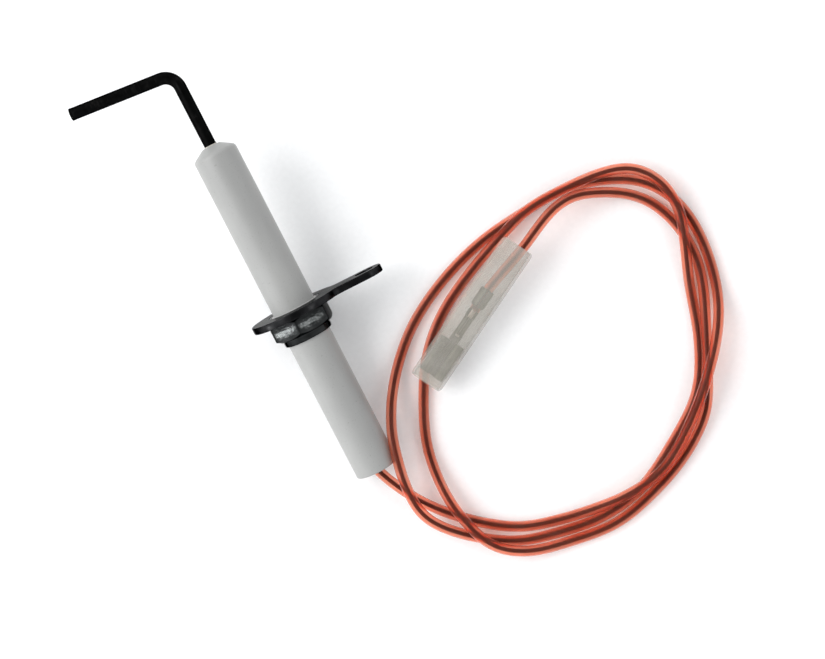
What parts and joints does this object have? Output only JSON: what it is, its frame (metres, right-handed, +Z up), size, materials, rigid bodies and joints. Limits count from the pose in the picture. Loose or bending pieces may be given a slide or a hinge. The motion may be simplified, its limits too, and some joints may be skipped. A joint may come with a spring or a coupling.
{
  "type": "flame sensor probe",
  "caption": "Flame sensor probe: bent electrode rod in a ceramic insulator, one-bolt mounting plate with hexagonal collar, and a loose lead ending in a sleeved push-on receptacle.",
  "frame": {"origin": "on the insulator's axis, in the mounting plate's seating face", "axes": "+Z up from the surface the probe lies on, +Y towards the electrode, +X towards the plate's bolt hole"},
  "size_m": [0.1141, 0.1375, 0.021],
  "materials": {
    "rod_steel": "heat-darkened, satin",
    "ceramic": "satin white",
    "cement": "matt",
    "plate_steel": "satin",
    "collar_steel": "satin, turned",
    "packing": "matt, woven fibre",
    "splice_brass": "satin",
    "strands": "satin, tinned",
    "potting": "matt",
    "lead_insulation": "matt salmon red",
    "receptacle_metal": "satin, tinned",
    "sleeve_plastic": "milky translucent"
  },
  "bodies": {
    "probe": {"electrode_rod": "rod_steel", "insulator": "ceramic", "tip_cement": "cement", "mounting_plate": "plate_steel", "hex_collar": "collar_steel", "packing_ring": "packing", "splice_barrel": "splice_brass", "splice_strands": "strands", "potting_plug": "potting", "lead": "lead_insulation", "terminal_strands": "strands", "receptacle": "receptacle_metal"},
    "sleeve": {"terminal_sleeve": "sleeve_plastic"}
  },
  "joints": [
    {"name": "sleeve_slide", "type": "slide", "parent": "probe", "child": "sleeve", "axis": [0.873, 0.4839, 0.061], "range_m": [0, 0.008]}
  ]
}
